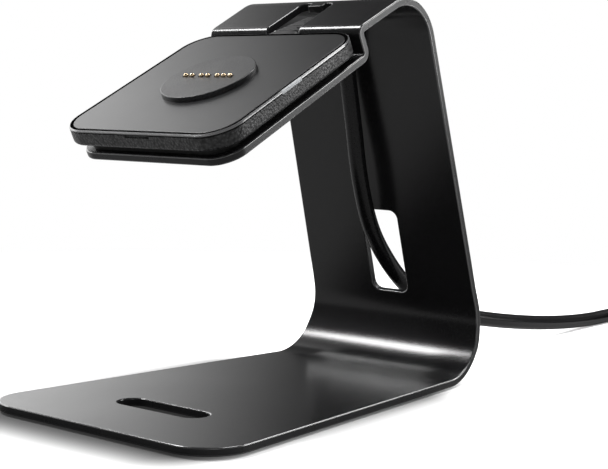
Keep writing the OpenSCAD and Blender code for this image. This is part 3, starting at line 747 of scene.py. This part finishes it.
# Light window: its middle up the slope, half length, and length and size of its ends
LIGHT_S, LIGHT_HALF, LIGHT_END, LIGHT_TAPER = PAD_MID - 1.9, 4.8, 0.2, 0.88
# Disc: radius, rise over the cover, rounding, and clearance in the cover
DISC_R, DISC_RISE, DISC_ROUND, DISC_FIT = 14.8, 1.5, 0.3, 0.05
PIN_STEP = 2.54
PIN_X = np.array([-3.5, -2.5, -1, 0, 1.5, 2.5, 3.5]) * PIN_STEP
PIN_BORE = 1.12                  # radius of the bores for the pins
BIG_RING, BORE_RING = ring(180), ring(40)


def bored_ends(low_ring, top_ring, low, top, rows, bores):
    """Closes a stack of rows at both ends, with round bores (x, s, radius) from end
    to end. Returns the bores' points and normals, the triangles of the two ends and
    the quads of the bores' walls."""
    circles = [np.array([x, s]) + r * (BIG_RING if r > DISC_R else BORE_RING)
               for x, s, r in bores]
    count, first = len(low_ring), rows * len(low_ring)
    own = sum(len(c) for c in circles)
    low_index = np.concatenate([np.arange(count), first + np.arange(own)])
    top_index = np.concatenate([(rows - 1) * count + np.arange(count),
                                first + own + np.arange(own)])
    caps = np.vstack([low_index[fill([low_ring] + circles)[:, ::-1]],
                      top_index[fill([top_ring] + circles)]])
    if not circles:
        return np.zeros((0, 3)), np.zeros((0, 3)), caps, np.zeros((0, 4), int)
    flat = np.vstack(circles)
    away = np.vstack([c - c.mean(axis=0) for c in circles])
    away /= np.linalg.norm(away, axis=1, keepdims=True)
    ends = [on_tray(flat[:, 0], PAD_MID + flat[:, 1], h) for h in (low, top, low, top)]
    inward = -(away[:, :1] * ACROSS + away[:, 1:] * UP_SLOPE)
    up = np.tile(OFF_SLOPE, (own, 1))
    walls, start = [], first + 2 * own
    for c in circles:
        j = np.arange(len(c))
        k = (j + 1) % len(c)
        walls.append(start + np.stack([j, own + j, own + k, k], -1))
        start += len(c)
    return np.vstack(ends), np.vstack([-up, up, inward, inward]), caps, np.vstack(walls)


def slab(name, profile, materials, node, slots=None, notch=False, bores=()):
    """A rounded slab: each row of the profile is (inset, height, lean of the normal
    in degrees), and the outline is carried inwards by the inset at that height. A
    notch moves the front edge in from the notch's floor up."""
    outline, out = rounded_loop(0, 0, 2 * PAD_HALF_W, 2 * PAD_HALF_L, PAD_R, 17)
    if notch:
        x = np.array([NOTCH_LEFT - STEP, NOTCH_LEFT + NOTCH_END,
                      NOTCH_RIGHT - NOTCH_END, NOTCH_RIGHT + STEP])
        split = np.flatnonzero((outline[:, 1] < -PAD_HALF_L + SAME)
                               & (outline[:, 0] > 0)).min()
        added = np.stack([x, np.full(4, -PAD_HALF_L)], -1)
        outline = np.insert(outline, split, added, axis=0)
        out = np.insert(out, split, np.tile([0.0, -1.0], (4, 1)), axis=0)
    corner = outline - out * PAD_R
    in_notch = ((outline[:, 1] < -PAD_HALF_L + SAME) & (outline[:, 0] > NOTCH_LEFT)
                & (outline[:, 0] < NOTCH_RIGHT))

    def carried_in(inset, height):
        more = NOTCH_DEPTH * (notch and height >= NOTCH_FLOOR) * in_notch
        return corner + out * (PAD_R - inset - more)[:, None]

    points, normals = [], []
    for inset, height, lean in profile:
        flat = carried_in(inset, height)
        points.append(on_tray(flat[:, 0], PAD_MID + flat[:, 1], height))
        lean = math.radians(lean)
        normals.append(math.cos(lean) * (out[:, :1] * ACROSS + out[:, 1:] * UP_SLOPE)
                       + math.sin(lean) * OFF_SLOPE)
    rows, count = len(profile), len(outline)
    strips = grid_faces(rows, count).reshape(rows - 1, count, 4)
    real = [k for k in range(rows - 1) if profile[k][:2] != profile[k + 1][:2]]
    more_points, more_normals, caps, walls = bored_ends(
        carried_in(*profile[0][:2]), carried_in(*profile[-1][:2]), profile[0][1],
        profile[-1][1], rows, bores)
    faces = strips[real].reshape(-1, 4).tolist() + caps.tolist() + walls.tolist()
    face_slots = None
    if slots is not None:
        face_slots = np.concatenate([np.repeat(np.array(slots)[real], count),
                                     np.zeros(len(caps) + len(walls), int)])
    made = piece(name, np.vstack(points + [more_points]), faces, materials,
                 np.vstack(normals + [more_normals]), face_slots)
    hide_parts(node)


def rounding(inset, height, radius, start, end, steps=5):
    """Profile rows of a rounded edge about a centre that lies radius inside; the
    lean of the normal goes from start to end degrees."""
    lean = np.linspace(start, end, steps)
    return [(inset - radius * (math.cos(math.radians(a)) - 1), height
             + radius * math.sin(math.radians(a)), a) for a in lean]


def make_case():
    """Case with a rounded underside, the notch from its floor up, and a fine rounding
    at its top."""
    profile = (rounding(0, CASE_LOW + CASE_UNDER_R, CASE_UNDER_R, -90, 0, 9)
               + [(0, NOTCH_FLOOR - STEP, 0), (0, NOTCH_FLOOR, 0)]
               + rounding(0, CASE_TOP - CASE_TOP_R, CASE_TOP_R, 0, 90, 4))
    slab("case_band", profile, grained_case, "pad_case", notch=True)


def make_cover():
    """Cover: outer wall, slant and flat of the rim in a painted highlight, groove,
    and the plate in it.
    """
    slant, floor = COVER_TOP - RIM_DROP, COVER_TOP - GROOVE_DEEP
    wall = [(COVER_IN, COVER_LOW, -90), (0.0, COVER_LOW + COVER_UP, 0), (0.0, slant, 0)]
    rim = [(0.0, slant, 60), (RIM_SLANT, COVER_TOP, 60), (RIM_SLANT, COVER_TOP, 90),
           (RIM_FLAT, COVER_TOP, 90)]
    groove = [(RIM_FLAT, COVER_TOP, 180), (RIM_FLAT, floor, 180), (RIM_FLAT, floor, 90),
              (GROOVE, floor, 90), (GROOVE, floor, 0)]
    plate = [(GROOVE, COVER_TOP - PLATE_R, 0)] + rounding(
        GROOVE, COVER_TOP - PLATE_R, PLATE_R, 0, 90, 4)
    satin, bright, dark = 0, 1, 2
    slots = ([bright] * (len(wall + rim) - 1) + [dark] * len(groove)
             + [satin] * len(plate))
    slab("top_cover", wall + rim + groove + plate,
         [cover_grey, rim_painted_highlight, groove_painted_shade], "pad_cover",
         slots=slots, bores=[(0, 0, DISC_R + DISC_FIT)])


make_case()
make_cover()


def make_window():
    """Pale window in the right side: the rim's profile, a hair outside it, carried
    along the slope, with ends that are drawn in about the profile's middle."""
    body = LIGHT_HALF - LIGHT_END
    s = LIGHT_S + np.array([-LIGHT_HALF, -body, body, LIGHT_HALF])
    size = np.array([LIGHT_TAPER, 1, 1, LIGHT_TAPER])
    foot, top, side = CASE_TOP - 0.05, COVER_TOP + 0.01, PAD_HALF_W + 0.03
    inside = PAD_HALF_W - 0.5
    profile = np.array([[inside - 0.2, foot], [side, foot], [side, top - RIM_DROP],
                        [side - RIM_SLANT, top], [inside, top], [inside, foot]])
    middle = profile.mean(axis=0)
    shown = middle + (profile - middle) * size[:, None, None]
    points = on_tray(shown[..., 0], s[:, None], shown[..., 1]).reshape(-1, 3)
    rows, count = shown.shape[:2]
    ends = [list(range(count)), list(range((rows - 1) * count, rows * count))[::-1]]
    faces = grid_faces(rows, count)[:, ::-1].tolist() + ends
    made = piece("light_window", points, faces, window)
    made.data.polygons.foreach_set("use_smooth", [False] * len(made.data.polygons))
    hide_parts("light_pipe")


make_window()


def make_disc():
    """Raised disc: a profile of radius and height turned about the pad's middle, with
    a rounded rim, and a round bore through it for each contact pin."""
    top = COVER_TOP + DISC_RISE
    a = np.radians(np.linspace(0, 90, 6))
    radius = np.append(DISC_R, DISC_R - DISC_ROUND + DISC_ROUND * np.cos(a))
    height = np.append(COVER_LOW, top - DISC_ROUND + DISC_ROUND * np.sin(a))
    lean = np.append(0, a)
    flat = radius[:, None, None] * BIG_RING
    points = on_tray(flat[..., 0], PAD_MID + flat[..., 1], height[:, None])
    out = BIG_RING[:, :1] * ACROSS + BIG_RING[:, 1:] * UP_SLOPE
    normals = np.cos(lean)[:, None, None] * out + np.sin(lean)[:, None, None] * OFF_SLOPE
    rows, count = points.shape[:2]
    more_points, more_normals, caps, walls = bored_ends(
        flat[0], flat[-1], COVER_LOW, top, rows, [(x, 0, PIN_BORE) for x in PIN_X])
    faces = grid_faces(rows, count).tolist() + caps.tolist() + walls.tolist()
    made = piece("raised_disc", np.vstack([points.reshape(-1, 3), more_points]), faces,
                 disc_grey, np.vstack([normals.reshape(-1, 3), more_normals]))
    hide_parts("contact_disc")


make_disc()

# Springs of the contact pins, in heights above the tray
SPRING_LOW, SPRING_HIGH, SPRING_SEAT = 5.61, 8.19, 5.5
SPRING_R, SPRING_WIRE, SPRING_TURNS = 0.62, 0.11, 5


def make_springs():
    """Springs of the contact pins: a round wire wound about the pin's axis, with the
    first and last turn nearly closed."""
    t = np.linspace(0, 1, 121)
    rise = SPRING_LOW + (SPRING_HIGH - SPRING_LOW) * np.interp(
        t, [0, 0.2, 0.8, 1], [0, 0.05, 0.95, 1])
    turn = 2 * math.pi * SPRING_TURNS * t
    for number, x in enumerate(PIN_X, 1):
        wound = on_tray(x + SPRING_R * np.cos(turn), PAD_MID + SPRING_R * np.sin(turn),
                        rise)
        points, faces, normals = tube(wound, SPRING_WIRE, 8)
        made = piece(f"contact_spring_{number}", points, faces, spring_steel, normals)
        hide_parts(f"pin_spring_{number}")
        tuple(to_row(on_tray(x, PAD_MID, SPRING_SEAT)))
        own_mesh(made)


make_springs()

# The strain relief: half width and height at the pad, the share that it narrows by,
# and the power of its rounded square at the pad and at the tip
BOOT_HALF_W, BOOT_HALF_H, BOOT_NARROWS = 6.25, 5.2, 0.34
BOOT_SQUARE, BOOT_ROUND = 5, 2.4
# Its ribs: their distance, and the middle, half width, side and depth of the cut
# after each rib; and the cosine at which a bridge begins, and its side
RIB_STEP, CUT_MID, CUT_HALF, CUT_SIDE, CUT_DEEP = 2.4, 1.8, 0.6, 0.15, 1.4
BRIDGE_FROM, BRIDGE_SIDE = 0.86, 0.05
BOOT_ROWS, BOOT_SIDES = 176, 72


def make_boot():
    """Strain relief: at each length t a rounded square about the cable's line, which
    narrows and grows rounder to the tip. In each rib step there is a cut round it,
    except at two bridges that change sides from cut to cut."""
    long = BOOT_END - PAD_BACK
    t = np.linspace(0, long, BOOT_ROWS)[:, None]
    a = np.linspace(0, 2 * math.pi, BOOT_SIDES, endpoint=False)[None, :]
    power = BOOT_SQUARE - (BOOT_SQUARE - BOOT_ROUND) * t / long
    slim = 1 - BOOT_NARROWS * t / long
    c, s = np.abs(np.cos(a)), np.abs(np.sin(a))
    reach = (c ** power + s ** power) ** (-1 / power)
    number, part = np.divmod(t - RIB_STEP, RIB_STEP)
    from_side = CUT_HALF - np.abs(part - CUT_MID)
    cut = np.clip(from_side / CUT_SIDE, 0, 1) * (t > RIB_STEP)
    turned = np.where(number % 2 == 0, c, s)
    bridge = np.clip((turned - BRIDGE_FROM) / BRIDGE_SIDE, 0, 1)
    depth = CUT_DEEP * cut * (1 - bridge)
    across = (BOOT_HALF_W * slim * reach - depth) * np.cos(a)
    high = (BOOT_HALF_H * slim * reach - depth) * np.sin(a)
    points = on_tray(across, PAD_BACK + t, GLAND_H + high).reshape(-1, 3)
    rows, count = across.shape
    faces = grid_faces(rows, count)[:, ::-1].tolist()
    faces += [list(range(count)), list(range((rows - 1) * count, rows * count))[::-1]]
    made = piece("ribbed_boot", points, faces, boot_skin)
    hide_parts("cable_boot")


make_boot()

# The floor, in metres: half its side, and where its fade to white begins and ends
FLOOR_SIDE = 3.0
FADE_FROM, FADE_TO = 0.2, 0.45
# The soft shade under the base: a box of half this size, whose middle lies this far
# to the front and left, and how far the shade reaches beyond it
SHADE_HALF, SHADE_SHIFT, SHADE_REACH = (0.034, 0.052, 0), (0.006, 0.019, 0), 0.036
SHADE_TONE, FLOOR_TONE = [0.09] * 3, [0.93] * 3
FLOOR_LIFT = 0.3                 # share of the tone that glows towards the camera
BOUNCE = 0.38                    # share of the tone that bounced and mirrored rays see


def make_floor():
    """A large flat floor. The camera sees it lit and with its shadows near the stand,
    lifted by a little glow, and plain white further out. Its tone is dark in a box
    under the base, and pales with the distance from it: the length of what is left
    of the absolute place from the box's middle, less the half size, where above 0."""
    side = FLOOR_SIDE / MM
    points = [[-side, -side, 0], [side, -side, 0], [side, side, 0], [-side, side, 0]]
    material = bpy.data.materials.new("floor_white")
    tree = nodes_of(material)
    new, link = tree.nodes.new, tree.links.new
    out = new("ShaderNodeOutputMaterial")
    place = new("ShaderNodeTexCoord").outputs["Object"]
    # tone, with the painted shade
    size = vector_step(tree, "ABSOLUTE", vector_step(tree, "ADD", place, SHADE_SHIFT))
    outside = vector_step(tree, "MAXIMUM", vector_step(tree, "SUBTRACT", size, SHADE_HALF),
                          (0, 0, 0))
    gap = vector_step(tree, "LENGTH", outside)
    shade = ranged(tree, gap, 0.0, SHADE_REACH, shape="SMOOTHERSTEP")
    tone = blended(tree, shade, SHADE_TONE, FLOOR_TONE)
    # what the camera sees, and what lights the object
    matt, pale = new("ShaderNodeBsdfDiffuse"), new("ShaderNodeBsdfDiffuse")
    lift, plain = new("ShaderNodeEmission"), new("ShaderNodeEmission")
    lift.inputs["Strength"].default_value = FLOOR_LIFT
    plain.inputs["Strength"].default_value = 1.0
    link(tone, matt.inputs["Color"])
    link(tone, lift.inputs["Color"])
    link(scaled(tree, tone, BOUNCE), pale.inputs["Color"])
    near = new("ShaderNodeAddShader")
    link(matt.outputs[0], near.inputs[0])
    link(lift.outputs[0], near.inputs[1])
    fade = ranged(tree, vector_step(tree, "LENGTH", place), FADE_FROM, FADE_TO,
                  shape="SMOOTHSTEP")
    seen = either(tree, fade, near.outputs[0], plain.outputs[0])
    camera_ray = new("ShaderNodeLightPath").outputs["Is Camera Ray"]
    link(either(tree, camera_ray, pale.outputs[0], seen), out.inputs[0])
    floor = piece("floor", points, [[0, 1, 2, 3]], material, stage=True)


make_floor()

# The studio: a white backdrop, with a bright wall on the left and a dim one on the
# right in what glossy and clear surfaces show
EVEN_LIGHT = 0.6                 # even light on the object
BRIGHT_SIDE = (-0.999, 0.035, 0.0)
DIM, BRIGHT = 0.06, 2.7          # brightness of the two walls
WALL_EDGE = (0.62, 0.88)         # cosines to the bright side where the walls meet


def world_light():
    """Even light on the object, white for the camera, and the two walls for mirrored
    and transmitted rays."""
    scene.world = bpy.data.worlds.new("studio")
    tree = nodes_of(scene.world)
    new, link = tree.nodes.new, tree.links.new
    out = new("ShaderNodeOutputWorld")
    even, white, walls = (new("ShaderNodeBackground") for _ in range(3))
    for shade in (even, white, walls):
        shade.inputs["Color"].default_value = (1, 1, 1, 1)
    even.inputs["Strength"].default_value = EVEN_LIGHT
    white.inputs["Strength"].default_value = 1.0
    place = new("ShaderNodeTexCoord").outputs["Generated"]
    facing = vector_step(tree, "DOT_PRODUCT", place, BRIGHT_SIDE)
    link(ranged(tree, facing, *WALL_EDGE, DIM, BRIGHT, "SMOOTHSTEP"),
         walls.inputs["Strength"])
    path = new("ShaderNodeLightPath")
    mirrored = new("ShaderNodeMath")
    mirrored.operation = "MAXIMUM"
    link(path.outputs["Is Glossy Ray"], mirrored.inputs[0])
    link(path.outputs["Is Transmission Ray"], mirrored.inputs[1])
    light = either(tree, mirrored.outputs[0], even.outputs[0], walls.outputs[0])
    link(either(tree, path.outputs["Is Camera Ray"], light, white.outputs[0]),
         out.inputs[0])


world_light()

LAMP_AWAY = 1.2                  # distance of the lamps, in metres
LAMPS_FACE = Vector((0, 0, 0.06))   # the place that they face


def softbox(name, azimuth, height, spread, brightness, tall=None):
    """Lamp at an azimuth and a height angle in degrees, so many degrees wide and
    tall, facing the stand; its power gives the same brightness whatever its size."""
    data = bpy.data.lights.new(name, "AREA")
    data.shape = "RECTANGLE"
    data.size = 2 * LAMP_AWAY * math.tan(math.radians(spread / 2))
    data.size_y = 2 * LAMP_AWAY * math.tan(math.radians((tall or spread) / 2))
    data.energy = brightness * math.pi * data.size * data.size_y
    lamp = bpy.data.objects.new(name, data)
    a, h = math.radians(azimuth), math.radians(height)
    way = Vector((math.cos(h) * math.cos(a), math.cos(h) * math.sin(a), math.sin(h)))
    lamp.location = LAMPS_FACE + LAMP_AWAY * way
    lamp.rotation_euler = (-way).to_track_quat("-Z", "Y").to_euler()
    lamp.visible_camera = False
    scene.collection.objects.link(lamp)


softbox("left_lamp", -160.5, 53.5, 12, 58, tall=15)
softbox("upper_left_lamp", 171, 36, 38, 1.15, tall=24)
softbox("right_back_lamp", 45.6, 10, 19.3, 12, tall=18)
softbox("edge_lamp", 72, 36, 20, 12)
softbox("top_back_lamp", 66, 64, 20, 14)
softbox("front_left_lamp", -158, 22, 14, 7)
softbox("front_right_lamp", -36, 14, 18, 2.2)
scene.view_settings.view_transform = "Standard"
